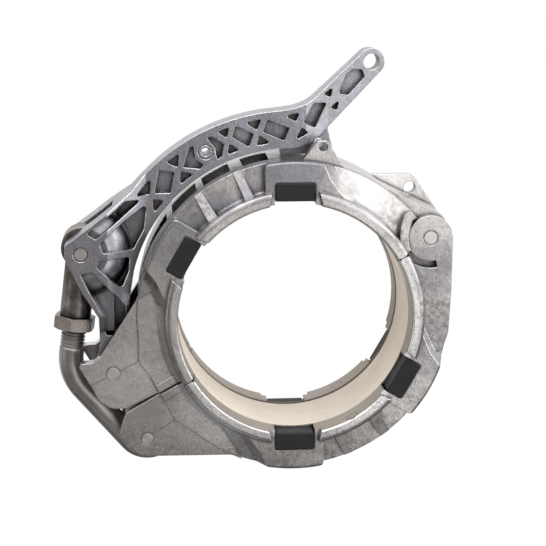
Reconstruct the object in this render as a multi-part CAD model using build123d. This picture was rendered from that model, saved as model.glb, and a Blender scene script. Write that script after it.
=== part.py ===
from build123d import *
import os
from math import asin, atan2, cos, degrees, hypot, radians, sin

os.makedirs("parts", exist_ok=True)

# Quick-release coupling for grooved pipe: two housing halves hinged on the right, drawn
# together on the left by a lever that pulls a bent tie rod over centre.
# Frame: origin in the middle of the bore, X to the right, Y along the pipe and away from the
# viewer, Z up. Angles are seen from the front, counter-clockwise from +X. Millimetres.

# Pipe, sealing bore and widths
PIPE_OD = 168.3
PAD_CLEARANCE = 0.15
LIP_STEP = 1.1
LIP_HEIGHT = 9.1
LIP_LAND = 20.0
LIP_EDGE = 1.2
BEAD_ROUND = 3.4
SEAL_WIDTH = 59.0
SEAL_HEIGHT = 16.8
WALL = 12.0
RIM_WIDTH = 66.0
SHOULDER_STEP = 3.0
RIB_STEP = 8.0
BLOCK_WIDTH = 86.0
EDGE_ROUND = 1.0

# Split between the halves
SPLIT_ANGLE = 30.0
SPLIT_GAP = 0.3

# Guide pads and the blocks that hold them
PAD_ANGLES = {"12": 90.0, "10": 150.0, "6": 270.0, "4": 330.0}
PAD_LENGTH = 28.5
PAD_HEIGHT = 12.9
PAD_DEPTH = 14.5
PAD_PROUD = 1.2
PAD_CORNER = 1.8
PAD_BEVEL = 0.8
PAD_FIT = 0.15
LIP_NOTCH = 2.0
LIP_BEVEL = 2.5
BLOCK_SIDE = 20.9
BLOCK_CORNER = 3.4

# Window band on top of the upper half
WINDOWS = [(98.5, 108.6), (113.3, 124.7), (127.5, 140.0)]
LAST_WINDOW = (143.0, 165.0)
WINDOW_WIDTH = 40.0
WINDOW_TIP = 12.0
WINDOW_DEPTH = 8.0

# Hinge on the right
HINGE_PIN = 9.4
EAR_RADIUS = 16.0
EAR_THICK = 8.0
KNUCKLE_MARGIN = 0.2
KNUCKLE_RADIUS = 15.0
HINGE_CLEAR = 0.6
EAR_GAP = 0.4
CRESCENT_CORNER = 0.9
GROOVE_GAP = 0.8
GROOVE_WIDTH = 5.0
GROOVE_SINK = 2.5
CRESCENT_RISE = 3.0

# Fulcrum foot on the upper half
FULCRUM_PIN = 9.2
FOOT_WIDTH = 63.0
FOOT_THICK = 9.5
FOOT_EDGE = [(-9.0, 12.2), (18.4, 55.2)]

# Fork on the lower half
FORK_PIN = 8.2
FORK_WIDTH = 63.0
FORK_THICK = 10.5
FORK_BOSS = 11.0
FORK_SLOT = 21.0

# Lever
LINK_PIN = 9.2
LINK_PIN_RECESS = 10.4
LEVER_IN_CLEAR = 6.0
LEVER_DEPTH = 26.7
LEVER_RIM = 4.4
LEVER_WIDTH = 27.0
LEVER_WEB = 9.0
POCKET_CORNER = 1.2
LEVER_ROOT_WIDTH = 43.0
LEVER_YOKE_WIDTH = 70.0
HANDLE_WIDTH = 23.0
HANDLE_TIP_WIDTH = 18.0
HANDLE_ANGLE = 44.5
HANDLE_RADIUS = 9.3
HANDLE_HOLE = 11.5
BOSS_HOLE = 6.0
BOSS_RADIUS = 6.4
LOCK_THICK = 10.0
LOCK_HOLE = 6.5
LUG_HOLE = 9.0

# Tie rod
BARREL_D = 22.5
BARREL_EYE = 15.0
BARREL_LENGTH = 51.4
BARREL_BORE_DEPTH = 30.0
LINK_TILT = 7.3
NUT_AF = 27.0
NUT_HEIGHT = 10.0
NUT_TURN = 8.5
ROD_D = 18.0
BEND_DROP = 95.7
BEND_RADIUS = 34.0
EYE_RADIUS = 15.8
EYE_WRAP = 240.0

# Fine relief of the castings
CREASE_DROP = 0.4
FLANGE_WIDTH = 6.6
FLANGE_RISE = 0.8
SPLIT_BEVEL = 0.8
LIP_V = 2.2
LIP_V_DEPTH = 3.6
FLAT_START = 5.3
FLAT_RAMP = 2.9
PIN_RING = 0.8
PIN_RING_DEPTH = 0.5
ARM_WALL = 3.0

# Running clearances
PIN_FIT = 0.08
THREAD_FIT = 0.1
SIDE_GAP = 0.5
FOOT_EDGE_GAP = 1.2
SEAL_GAP = 0.35

# Values that follow from the above
PAD_R = PIPE_OD / 2 + PAD_CLEARANCE
LIP_R = PAD_R - LIP_STEP
LIP_TOP = LIP_R + LIP_HEIGHT
SEAL_HALF = SEAL_WIDTH / 2
LIP_HALF = SEAL_HALF + LIP_LAND
CAVITY_R = LIP_R + SEAL_HEIGHT
HOUSING_R = CAVITY_R + WALL
RIM_HALF = RIM_WIDTH / 2
SHOULDER = RIM_HALF + SHOULDER_STEP
RIB_SHOULDER = RIM_HALF + RIB_STEP
BLOCK_HALF = BLOCK_WIDTH / 2
PAD_FACE = BLOCK_HALF + PAD_PROUD
PAD_OUT = PAD_R + PAD_HEIGHT
FAR = 3 * HOUSING_R
HINGE = (HOUSING_R * cos(radians(SPLIT_ANGLE)), HOUSING_R * sin(radians(SPLIT_ANGLE)))
KNUCKLE_HALF = SEAL_HALF + KNUCKLE_MARGIN
EAR_IN = KNUCKLE_HALF + EAR_GAP
EAR_OUT = EAR_IN + EAR_THICK
FOOT_HALF = FOOT_WIDTH / 2
FOOT_IN = FOOT_HALF - FOOT_THICK
FORK_HALF = FORK_WIDTH / 2
FORK_IN = FORK_HALF - FORK_THICK
LEVER_IN = HOUSING_R + LEVER_IN_CLEAR
LEVER_OUT = LEVER_IN + LEVER_DEPTH
LEVER_HALF = LEVER_WIDTH / 2
YOKE_HALF = LEVER_YOKE_WIDTH / 2
ROOT_HALF = LEVER_ROOT_WIDTH / 2
SLOT_HALF = BARREL_D / 2 + SIDE_GAP
FLAT_FROM = LIP_TOP + FLAT_RAMP
FLAT_TO = LIP_TOP + FLAT_START


def at(radius, angle):
    """Point at this radius and angle about the bore."""
    return (radius * cos(radians(angle)), radius * sin(radians(angle)))


def about(centre, radius, angle):
    """Point at this radius and angle about a pivot."""
    x, z = at(radius, angle)
    return (centre[0] + x, centre[1] + z)


def beyond(rise, angle):
    """Point this far outside the housing's rim, at this angle about the bore."""
    return at(HOUSING_R + rise, angle)


# Places of the pins and holes, which follow the housing's size
FULCRUM = beyond(23.65, 197.4599)
LINK_PIVOT = beyond(45.477, 162.6351)
FORK_PIVOT = beyond(26.925, 220.2703)
HANDLE_END = beyond(75.315, 72.2518)
BOSS_PLACE = beyond(19.0, 118)
LOCK_PLACE = (20.4, HOUSING_R + 8.8)
LUG_PLACE = beyond(11.738, 42.3142)


def outline(points, corner=0.0):
    """Closed outline with every corner rounded alike."""
    face = make_face(Polyline(*points, close=True))
    return fillet(face.vertices(), corner) if corner else face


def rounded(points, radii):
    """Closed outline with its own radius at each corner."""
    face = make_face(Polyline(*points, close=True))
    for point, radius in zip(points, radii):
        if radius:
            corner = min(face.vertices(), key=lambda v: (v.center() - Vector(*point)).length)
            face = fillet(corner, radius)
    return face


def sector(inner, outer, start, end):
    """Piece of a flat ring about the bore."""
    middle = (start + end) / 2
    return make_face([
        ThreePointArc(at(outer, start), at(outer, middle), at(outer, end)),
        Line(at(outer, end), at(inner, end)),
        ThreePointArc(at(inner, end), at(inner, middle), at(inner, start)),
        Line(at(inner, start), at(outer, start)),
    ])


def moved(face, centre):
    return Pos(centre[0], centre[1]) * face


def slab(face, near, far):
    """The outline as a pair of slabs, between two depths in front of and behind the middle."""
    front = extrude(Plane.XZ.offset(near) * face, far - near, dir=(0, -1, 0))
    return front + mirror(front, Plane.XZ)


def plate(face, half):
    """The outline as one slab across the middle."""
    return extrude(Plane.XZ * face, half, both=True)


def layer(face, front, back):
    """The outline as one slab from one depth to another, measured along Y."""
    return extrude(Plane.XZ.offset(-front) * face, back - front, dir=(0, 1, 0))


def rod(centre, diameter, half):
    """Round bar across the middle, along Y."""
    return plate(moved(Circle(diameter / 2), centre), half)


def turned(profile):
    """Solid of revolution about the pipe from a profile in radius and depth."""
    return revolve(profile, axis=Axis.Y, revolution_arc=360)


def placed(shape, angle, flip):
    """Shape made at 12 o'clock, turned to its own angle, its slanted side first flipped over."""
    shape = mirror(shape, Plane.YZ) if flip else shape
    return Rot(Y=90 - angle) * shape


def side_of_split(upper):
    """Everything on one side of the split, half the gap away from it."""
    shift = (FAR / 2 + SPLIT_GAP) * (1 if upper else -1)
    return Rot(Y=-SPLIT_ANGLE) * Pos(0, 0, shift) * Box(2 * FAR, FAR, FAR)


# Housing ring, common to both halves

def ring_solid():
    """Outer form of the ring with its rounded lips, without the bore and the seal's channel."""
    half = [(LIP_TOP, LIP_HALF), (LIP_TOP, SHOULDER), (HOUSING_R, RIM_HALF)]
    front = [(r, -y) for r, y in half]
    core = LIP_R / 2
    profile = outline([(core, -LIP_HALF)] + front + half[::-1] + [(core, LIP_HALF)])
    beads = [v for v in profile.vertices() if abs(v.X - LIP_TOP) < 0.01 and abs(v.Y) > LIP_HALF - 0.01]
    profile = fillet(beads, BEAD_ROUND)
    rims = [v for v in profile.vertices() if v.X > HOUSING_R - 0.01]
    return turned(fillet(rims, EDGE_ROUND))


def bore_void():
    """Bore over the lips, their chamfers and the channel that holds the seal."""
    edge = LIP_R + LIP_EDGE
    mouth = edge + LIP_HALF
    half = [(LIP_R, SEAL_HALF), (LIP_R, LIP_HALF - LIP_EDGE), (mouth, LIP_HALF - LIP_EDGE + mouth - LIP_R)]
    front = [(r, -y) for r, y in half]
    corners = [(CAVITY_R, SEAL_HALF), (CAVITY_R, -SEAL_HALF)]
    points = [(0, front[-1][1])] + front[::-1] + corners[::-1] + half + [(0, half[-1][1])]
    return turned(outline(points))


def sleeve(inner, half):
    """Ring up to the rim with its outer corners rounded, which trims what stands on the sides."""
    profile = outline([(inner, -half), (HOUSING_R, -half), (HOUSING_R, half), (inner, half)])
    corners = [v for v in profile.vertices() if v.X > HOUSING_R - 0.01]
    return turned(fillet(corners, 2 * EDGE_ROUND))


def block_face(foot):
    """Outline of a pad block at 12 o'clock, at its face or at the foot of its sloping flank."""
    rim, high = HOUSING_R, HOUSING_R + WALL
    side = -BLOCK_SIDE
    left = [(side, LIP_R), (side, rim - 4.8), (side + 1, rim - 2.6), (side + BLOCK_CORNER, rim - 1.2),
            (side + BLOCK_CORNER, high)]
    if foot:
        flank = [(25.5, WALL), (25.5, -2.8), (27.6, -3.4), (29.6, -4.8), (34.6, -13), (41.9, -24),
                 (49.5, -35.9), (52, -40)]
    else:
        flank = [(17, WALL), (17, -1.3), (19.1, -2), (20.6, -3.6), (24.7, -13), (32.2, -23.2), (36.5, -28.8),
                 (37.5, -30.2)]
    return outline(left + [(x, rim + rise) for x, rise in flank])


def pad_block(angle, flip):
    """Block with a straight side, and a sloping flank along its slanted side."""
    foot = Plane.XZ.offset(RIM_HALF - 1) * block_face(True)
    face = Plane.XZ.offset(BLOCK_HALF) * block_face(False)
    front = loft([foot, face], ruled=True)
    return placed(front + mirror(front, Plane.XZ), angle, flip)


def pad_seat(angle):
    """Seat of a pad, with the wider bevelled notch through the lip in front of it."""
    half = PAD_LENGTH / 2 + PAD_FIT
    seat = rounded([(-half, 0), (-half, PAD_OUT + PAD_FIT), (half, PAD_OUT + PAD_FIT), (half, 0)],
                   [0, PAD_CORNER, PAD_CORNER, 0])
    wide = half + LIP_NOTCH
    notch = outline([(-wide - LIP_BEVEL, LIP_R - 2), (-wide, LIP_TOP + 1), (wide, LIP_TOP + 1),
                     (wide + LIP_BEVEL, LIP_R - 2)])
    cut = slab(seat, PAD_FACE - PAD_DEPTH - PAD_FIT, FAR / 4) + slab(notch, BLOCK_HALF, FAR / 4)
    return placed(cut, angle, False)


def side_pockets(start, end, ribs):
    """Cut between two blocks that leaves the ribs, and the ribs' own sloping bodies."""
    zone = slab(sector(LIP_TOP + 0.4, HOUSING_R + 5, start, end), RIM_HALF, BLOCK_HALF)
    bars = None
    for rim_from, rim_to, lip_from, lip_to in ribs:
        bar = slab(outline([at(LIP_TOP - 2, lip_from), at(HOUSING_R + 6, rim_from),
                            at(HOUSING_R + 6, rim_to), at(LIP_TOP - 2, lip_to)]), RIM_HALF - 1, BLOCK_HALF)
        bars = bar if bars is None else bars + bar
    inside = LIP_TOP - 2
    slope = outline([(inside, -RIB_SHOULDER), (HOUSING_R, -RIM_HALF), (HOUSING_R, RIM_HALF),
                     (inside, RIB_SHOULDER)])
    return zone, bars & turned(slope)


UPPER_RIBS = [(110.2, 112.8, 108.2, 112.4), (125.8, 128.6, 126.6, 131.2)]
LOWER_RIBS = [(289.8, 293.0, 287.8, 292.9), (305.1, 308.7, 305.3, 311.1)]


def by_split(points, angle):
    """Points given along a split line and across it, turned to the split's own angle."""
    return [(at(r, angle)[0] - across * sin(radians(angle)), at(r, angle)[1] + across * cos(radians(angle)))
            for r, across in points]


UPPER_CREASE = [beyond(-0.281, 173.06), beyond(3.781, 195.993), beyond(-1.536, 206.913)]
LOWER_CREASE = [beyond(-0.836, 209.24), beyond(2.686, 221.571), beyond(0.433, 245.122)]
LEFT_SPLIT = SPLIT_ANGLE + 180


def side_facet(upper):
    """Outline of the flat on the ring's left side, out to the creases of its foot or fork."""
    if upper:
        return outline([at(FLAT_FROM, 164)] + UPPER_CREASE + [beyond(0.05, 209.63), at(FLAT_FROM, 212)])
    end = [beyond(1, 250.5), at(FLAT_FROM, 236)]
    return outline([at(FLAT_FROM, 208), beyond(-1.4, 207.167)] + LOWER_CREASE + end)


def flat_cut():
    """Turned cut that takes the conical side down to the rim's level, with a ramp up to the lip."""
    outer = HOUSING_R + 1
    half = outline([(FLAT_FROM, SHOULDER), (FLAT_TO, RIM_HALF), (outer, RIM_HALF), (outer, BLOCK_HALF),
                    (FLAT_FROM, BLOCK_HALF)])
    back = turned(half)
    return back + mirror(back, Plane.XZ)


def split_relief():
    """Bevels along both splits and the notches between the ends of the lips."""
    cut = None
    start, end = LIP_R - 4, HOUSING_R + 1
    for angle in (SPLIT_ANGLE, LEFT_SPLIT):
        line = outline(by_split([(start, SPLIT_BEVEL), (end, SPLIT_BEVEL), (end, -SPLIT_BEVEL),
                                 (start, -SPLIT_BEVEL)], angle))
        outer = outline(by_split([(LIP_TOP + 2, LIP_V), (LIP_TOP + 2, -LIP_V), (LIP_TOP - LIP_V_DEPTH, 0)],
                                 angle))
        inner = outline(by_split([(LIP_R - 2, LIP_V), (LIP_R - 2, -LIP_V), (LIP_R + LIP_V_DEPTH, 0)], angle))
        piece = slab(line, RIM_HALF - SPLIT_BEVEL, BLOCK_HALF) + slab(outer, BLOCK_HALF - 6, FAR / 4)
        piece += slab(inner, BLOCK_HALF, FAR / 4)
        cut = piece if cut is None else cut + piece
    return cut


def split_flange():
    """Raised strips along the left split."""
    end = HOUSING_R - 1
    strip = outline(by_split([(FLAT_FROM, FLANGE_WIDTH), (end, FLANGE_WIDTH), (end, -FLANGE_WIDTH),
                              (FLAT_FROM, -FLANGE_WIDTH)], LEFT_SPLIT))
    return slab(strip, RIM_HALF - 2, RIM_HALF + FLANGE_RISE)


def housing_ring(upper):
    """One half of the ring with its pad blocks, ribbed pockets and pad seats."""
    names = ("12", "10") if upper else ("6", "4")
    ribs = UPPER_RIBS if upper else LOWER_RIBS
    first, last = PAD_ANGLES[names[0]], PAD_ANGLES[names[1]]
    zone, bars = side_pockets(first + 8, last - 8, ribs)
    blocks = pad_block(first, False) + pad_block(last, True)
    facet = side_facet(upper)
    sides = ring_solid() - zone + bars - (flat_cut() & plate(facet, FAR / 4)) + split_flange()
    ring = sides + slab(facet, FOOT_IN, RIM_HALF) + (blocks & sleeve(LIP_R, BLOCK_HALF)) - split_relief()
    for angle in (first, last):
        ring -= pad_seat(angle)
    return ring & side_of_split(upper)


def pin_bore(centre, diameter, half):
    """Hole for a pin that is fixed in it, with a shallow ring round each end."""
    rings = slab(moved(Circle(diameter / 2 + PIN_RING), centre), half - PIN_RING_DEPTH, half + 1)
    return rod(centre, diameter, FAR) + rings


def one_of_pair(body, front):
    """The front or the rear one of a pair of plates."""
    side = -1 if front else 1
    return body & Pos(0, side * FAR / 2, 0) * Box(2 * FAR, FAR, 2 * FAR)


# Upper half

def foot_plates():
    """Fork that carries the lever's fulcrum pin, its lower edge along the split."""
    x, z = FULCRUM
    (low_x, low_z), (high_x, high_z) = FOOT_EDGE
    shape = rounded([
        at(CAVITY_R + 1, 158), (x + high_x, z + high_z), (x + low_x, z + low_z), (x - 14, z + 8.2),
        (x - 22.6, z + 7.6), (x - 24.2, z + 5.0), (x - 15.5, z - 10.2), (x - 11.0, z - 20.0),
        (x - 2, z - 26.0), (x + 8, z - 26.4),
        at(CAVITY_R + 1, LEFT_SPLIT)],
        [0, 0, 6, 4, 1, 1, 8, 9, 9, 6, 0])
    below = [(x + 33, z - 45), (x - 30, z - 45)]
    low = outline([(x - 30.6, z - 15.3), (x - 15.4, z - 8.2)] + UPPER_CREASE[1:] + below)
    body = slab(shape, FOOT_IN, FOOT_HALF) - slab(low, FOOT_HALF - CREASE_DROP, FOOT_HALF + 1)
    body -= plate(Circle(HOUSING_R), FAR / 4) + plate(side_facet(True), FAR / 4)
    return (body & side_of_split(True)) - pin_bore(FULCRUM, FULCRUM_PIN, FOOT_HALF)


def knuckle():
    """Knuckle between the hinge ears, with the gusset that joins it to the rim."""
    x, z = HINGE
    gusset = outline([at(HOUSING_R - 2, 64.4), (x + 9.2, z + 14.9), (x + 13.5, z + 9.0), (x + 6, z - 4),
                      (x - 6, z - 2), at(CAVITY_R, 45)])
    disc = moved(Circle(KNUCKLE_RADIUS), HINGE)
    return plate(gusset, KNUCKLE_HALF) + plate(disc, KNUCKLE_HALF)


def crescent():
    """Curved bar on the upper half that shields the hinge ears."""
    inner = EAR_RADIUS + HINGE_CLEAR
    outer_side = [(24, 216), (21.8, 204), (22.6, 182), (23.8, 156), (25.4, 140), (25.6, 131)]
    inner_side = [(22.6, 127), (19.6, 135), (17.6, 150), (inner, 165), (inner, 216)]
    bar = outline([about(HINGE, radius, angle) for radius, angle in outer_side + inner_side], CRESCENT_CORNER)
    bar -= moved(Circle(inner), HINGE)
    return slab(bar, RIM_HALF - EAR_GAP, EAR_OUT + CRESCENT_RISE)


def front_ear():
    """Triangular ear in front of the lever's lock tab."""
    x, z = LOCK_PLACE
    shape = rounded([(x - 16.5, z - 12), (x - 3.6, z + 4.6), (x + 3.0, z + 4.6), (x + 15.5, z - 16)],
                    [0, 2.5, 2.5, 0])
    body = layer(shape - moved(Circle(LOCK_HOLE / 2), LOCK_PLACE), -RIM_HALF, -RIM_HALF + FOOT_THICK)
    return body - plate(Circle(HOUSING_R), FAR / 4)


def rear_lug():
    """Lug on the rear side of the upper half with a hole for a lanyard or a seal."""
    x, z = LUG_PLACE
    shape = rounded([(x - 33, z + 9.6), (x + 2.5, z + 9.6), (x + 23.4, z - 21.3), (x + 12, z - 32),
                     (x - 20, z - 12)],
                    [0, 7, 2, 0, 0])
    body = layer(shape - moved(Circle(LUG_HOLE / 2), LUG_PLACE), FOOT_IN, FOOT_HALF)
    return body - plate(Circle(HOUSING_R), FAR / 4) - knuckle() - ears_room()


def band_windows():
    """Windows in the rim under the lever, the last one tapered."""
    cut = None
    for start, end in WINDOWS:
        box = plate(sector(HOUSING_R - WINDOW_DEPTH, HOUSING_R + 5, start, end), WINDOW_WIDTH / 2)
        cut = box if cut is None else cut + box
    start, end = LAST_WINDOW
    wide = Plane.XZ * sector(HOUSING_R - WINDOW_DEPTH, HOUSING_R + 5, start, end)
    last = extrude(wide, WINDOW_WIDTH / 2, both=True)
    a, b = at(HOUSING_R, start)[0], at(HOUSING_R, end)[0]
    wide_half, tip_half = WINDOW_WIDTH / 2, WINDOW_TIP / 2
    taper = Polygon((a + 9, -wide_half), (a + 9, wide_half), (b, tip_half), (b, -tip_half), align=None)
    return cut + (last & extrude(taper, FAR, both=True))


def ears_room():
    """Room that the upper half leaves for the hinge ears."""
    return slab(moved(Circle(EAR_RADIUS + HINGE_CLEAR), HINGE), EAR_IN - EAR_GAP, FAR / 4)


def upper_half():
    body = housing_ring(True) - ears_room() + (crescent() & side_of_split(True))
    body += knuckle()
    body -= band_windows() + bore_void()
    return body - rod(HINGE, HINGE_PIN + 2 * PIN_FIT, FAR)


# Lower half

def hinge_ears():
    """Ears outside the knuckle, and the arms that run from them down the right side."""
    x, z = HINGE
    disc = moved(Circle(EAR_RADIUS), HINGE)
    arm = rounded([(x + EAR_RADIUS, z), beyond(1.726, 8.088), beyond(-0.048, -6.668), beyond(-1.982, -14.744),
                   beyond(-16.926, -14.622), at(LIP_TOP + 0.5, -10), at(LIP_TOP + 0.5, 10),
                   at(LIP_TOP + 0.5, SPLIT_ANGLE - 2), (x - 14, z - 2)],
                  [0, 0, 12, 4, 0, 0, 0, 0, 0])
    return slab(disc, EAR_IN, EAR_OUT) + (slab(arm, EAR_IN, EAR_OUT) & side_of_split(False))


def ear_groove():
    """Deep groove below the hinge ears, between their discs and the arms."""
    inner = EAR_RADIUS + GROOVE_GAP
    ring = moved(Circle(inner + GROOVE_WIDTH) - Circle(inner), HINGE)
    wedge = outline([HINGE, about(HINGE, 60, 212), about(HINGE, 60, 250), about(HINGE, 60, 284)])
    return slab(ring & wedge, RIM_HALF - GROOVE_SINK, EAR_OUT + 1)


def fork_plates():
    """Fork that takes the rod's eye, its upper edge along the split."""
    x, z = FORK_PIVOT
    shape = rounded([
        at(CAVITY_R + 1, LEFT_SPLIT), beyond(26, LEFT_SPLIT - 0.6), (x - 17.5, z + 12), (x - 20.2, z + 2),
        (x - 13.5, z - 8.2), (x - 3, z - 13.3), (x + 59.8, z - 13.9), beyond(-0.5, 250),
        at(CAVITY_R + 1, 248)],
        [0, 0, 7, 7, 8, 5, 0, 0, 0])
    below = [(x + 75, z - 30), (x - 23, z - 30)]
    low = outline([(x - 23, z - 13.0), (x - 11.8, z - 6.7)] + LOWER_CREASE[1:] + below)
    ears = slab(shape, FORK_IN, FORK_HALF) - slab(low, FORK_HALF - CREASE_DROP, FORK_HALF + 1)
    ears -= plate(Circle(HOUSING_R), FAR / 4) + plate(side_facet(False), FAR / 4)
    ears += slab(moved(Circle(FORK_BOSS), FORK_PIVOT), FORK_SLOT / 2, FORK_IN)
    return (ears & side_of_split(False)) - pin_bore(FORK_PIVOT, FORK_PIN, FORK_HALF)


def lower_half():
    knuckle_room = plate(moved(Circle(KNUCKLE_RADIUS + HINGE_CLEAR), HINGE), EAR_IN)
    body = housing_ring(False) - knuckle_room + hinge_ears() - ear_groove()
    return body - bore_void() - pin_bore(HINGE, HINGE_PIN, EAR_OUT)


# Seal and pads

RIDGES = 9
RIDGE_HEIGHT = 0.8


def gasket():
    """Elastomer ring in the channel, with fine ridges on its inner face."""
    half = SEAL_HALF - SEAL_GAP
    inner = LIP_R + 0.15
    pitch = 2 * (half - 2) / RIDGES
    points = [(inner + RIDGE_HEIGHT + 1, -half), (CAVITY_R - SEAL_GAP, -half), (CAVITY_R - SEAL_GAP, half),
              (inner + RIDGE_HEIGHT + 1, half)]
    for n in range(RIDGES, 0, -1):
        y = -half + 2 + n * pitch
        points += [(inner + RIDGE_HEIGHT, y), (inner, y - pitch / 2)]
    points.append((inner + RIDGE_HEIGHT, -half + 2))
    return turned(outline(points))


def pad(angle, front):
    """Guide pad with rounded corners, its face's edges broken, flat towards the pipe."""
    half = PAD_LENGTH / 2
    block = layer(outline([(-half, PAD_R), (-half, PAD_OUT), (half, PAD_OUT), (half, PAD_R)], PAD_CORNER),
                  -PAD_FACE, -PAD_FACE + PAD_DEPTH)
    block = chamfer(block.faces().sort_by(Axis.Y)[0].edges(), PAD_BEVEL)
    block = block if front else mirror(block, Plane.XZ)
    return placed(block, angle, False)


# Lever

def handle_point(back, across):
    """Point measured back from the handle's end hole and across its axis."""
    dx, dz = cos(radians(HANDLE_ANGLE)), sin(radians(HANDLE_ANGLE))
    return (HANDLE_END[0] - back * dx - across * dz, HANDLE_END[1] - back * dz + across * dx)


def lever_outline():
    """Front outline: yoke at the left, arched beam, handle and fulcrum boss."""
    ax, az = LINK_PIVOT
    fx, fz = FULCRUM
    along_grip, along_beam = at(1, HANDLE_ANGLE), at(1, 5)
    top = ThreePointArc(at(LEVER_OUT, 142), at(LEVER_OUT, 118), at(LEVER_OUT, 95))
    neck = Spline(at(LEVER_OUT, 95), at(LEVER_OUT + 2.6, 87.9), handle_point(46, 10.5),
                  tangents=[along_beam, along_grip])
    grip = Line(handle_point(46, 10.5), handle_point(1, HANDLE_RADIUS))
    tip = ThreePointArc(handle_point(1, HANDLE_RADIUS), handle_point(-HANDLE_RADIUS, 0),
                        handle_point(1, -HANDLE_RADIUS))
    under = Line(handle_point(1, -HANDLE_RADIUS), handle_point(58, -11.0))
    throat = Spline(handle_point(58, -11.0), at(LEVER_IN + 0.8, 87.5), at(LEVER_IN, 95),
                    tangents=[(-along_grip[0], -along_grip[1]), (-along_beam[0], -along_beam[1])])
    inside = ThreePointArc(at(LEVER_IN, 95), at(LEVER_IN, 130), at(LEVER_IN, 164))
    tail = Polyline(at(LEVER_IN, 164), (fx + 12.4, fz + 52), (fx + 12.8, fz + 3))
    boss = ThreePointArc((fx + 12.8, fz + 3), (fx, fz - 13.1), (fx - 12.8, fz + 3))
    edge = Polyline((fx - 12.8, fz + 3), (fx - 9.6, fz + 16), (fx - 9.4, fz + 42), (ax + 0.2, az - 27.3),
                    (ax - 9.4, az - 6.9), (ax - 11.4, az - 2), (ax - 11.2, az + 6.2), (ax + 9.1, az + 21.1),
                    at(LEVER_OUT, 142))
    return make_face([top, neck, grip, tip, under, throat, inside, tail, boss, edge])


def lever_plan():
    """Plan view that gives the lever its widths: handle, beam, flare and yoke."""
    tip, neck = HANDLE_END[0] + HANDLE_RADIUS + 5, at(LEVER_OUT, 86)[0]
    flare, yoke = at(LEVER_OUT, 136)[0], LINK_PIVOT[0] + 19
    widths = [(tip, HANDLE_TIP_WIDTH / 2), (neck + 16, HANDLE_WIDTH / 2), (neck, LEVER_HALF),
              (flare, LEVER_HALF), (yoke, YOKE_HALF), (LINK_PIVOT[0] - 40, YOKE_HALF)]
    return Polygon(*widths, *[(x, -y) for x, y in widths[::-1]], align=None)


def lattice(share, angle):
    """Point of the beam's lattice, by its share of the height between the two rims."""
    low, high = LEVER_IN + LEVER_RIM, LEVER_OUT - LEVER_RIM
    return at(low + share * (high - low), angle)


BEAM_POCKETS = [
    [(0.96, 97.2), (0.56, 90.6), (0.04, 92.4), (0.50, 99.2)],
    [(0.98, 106.7), (0.48, 101.8), (0.02, 104.4), (0.60, 108.7)],
    [(0.98, 132.7), (0.50, 129.4), (0.00, 135.0), (0.46, 138.6)],
    [(1.02, 103.8), (1.02, 98.6), (0.60, 100.8)],
    [(0.42, 100.4), (0.00, 97.0), (0.00, 101.8)],
    [(1.02, 112.4), (1.02, 108.4), (0.62, 110.2)],
    [(0.42, 110.2), (0.00, 107.6), (0.00, 112.0)],
    [(1.00, 124.8), (0.56, 127.7), (1.02, 129.6)],
    [(1.00, 135.8), (0.58, 139.7), (1.00, 142.8)],
    [(0.40, 127.8), (-0.02, 125.0), (-0.02, 130.8)],
    [(0.38, 140.4), (-0.02, 138.2), (-0.02, 143.8)],
    [(1.04, 92.2), (1.18, 87.6), (0.80, 88.8)],
    [(0.60, 86.9), (0.38, 84.6), (0.02, 89.2)],
]
CURVED_POCKETS = [
    [(0.98, 121.6), (0.92, 120.2), (0.44, 121.8), (0.06, 120.4), (0.00, 122.2), (0.44, 126.4)],
    [(0.98, 115.6), (0.90, 114.1), (0.44, 111.6), (0.04, 113.8), (0.00, 115.8), (0.44, 114.8)],
]
HANDLE_POCKETS = [
    ([(13.1, 6.0), (8.6, 1.0), (11.0, -4.2), (28.5, -5.0), (32.4, 0.7), (19.2, 6.4)], 1.6),
    ([(31.8, 7.0), (40.4, 8.2), (38.2, 2.6)], 1.0),
    ([(34.6, -2.6), (43.8, -2.2), (41.4, -7.0)], 1.0),
    ([(49.4, 8.6), (42.8, 2.0), (61.3, -4.7), (64.6, 4.0)], 1.0),
]


def lever_pockets():
    """Blind pockets on both faces of the beam and the handle, down to the web."""
    cut = None
    for points in BEAM_POCKETS:
        pocket = slab(outline([lattice(*p) for p in points], POCKET_CORNER), LEVER_WEB / 2, YOKE_HALF + 1)
        cut = pocket if cut is None else cut + pocket
    for points in CURVED_POCKETS:
        cut += slab(outline([lattice(*p) for p in points], 0.7), LEVER_WEB / 2, YOKE_HALF + 1)
    for points, corner in HANDLE_POCKETS:
        cut += slab(outline([handle_point(*p) for p in points], corner), LEVER_WEB / 3, YOKE_HALF + 1)
    return cut


def yoke_pockets():
    """Deep pockets of the flared yoke, between its ribs."""
    x, z = LINK_PIVOT
    shapes = [
        ([(31.4, 35.9), (43.6, 35.6), (10.6, 10.4), (4.4, 14.6)], 1.4),
        ([(46.6, 32.2), (44.4, 14.2), (36.8, 0.9), (15.2, 0.7), (13.2, 7.6), (30.0, 21.4)], 1.8),
        ([(13.3, -4.4), (34.0, -4.3), (33.2, -14.5), (28.3, -26.0), (10.9, -9.5)], 1.8),
        ([(-1.0, -13.9), (7.7, -12.6), (26.2, -32.4), (30.6, -39.6), (29.4, -50.0), (22.0, -62.0),
          (16.0, -62.0), (15.8, -47.0), (5.9, -28.1)], 1.6),
    ]
    cut = None
    for points, corner in shapes:
        pocket = slab(outline([(x + a, z + b) for a, b in points], corner), LEVER_WEB / 2, YOKE_HALF + 1)
        cut = pocket if cut is None else cut + pocket
    return cut


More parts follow.
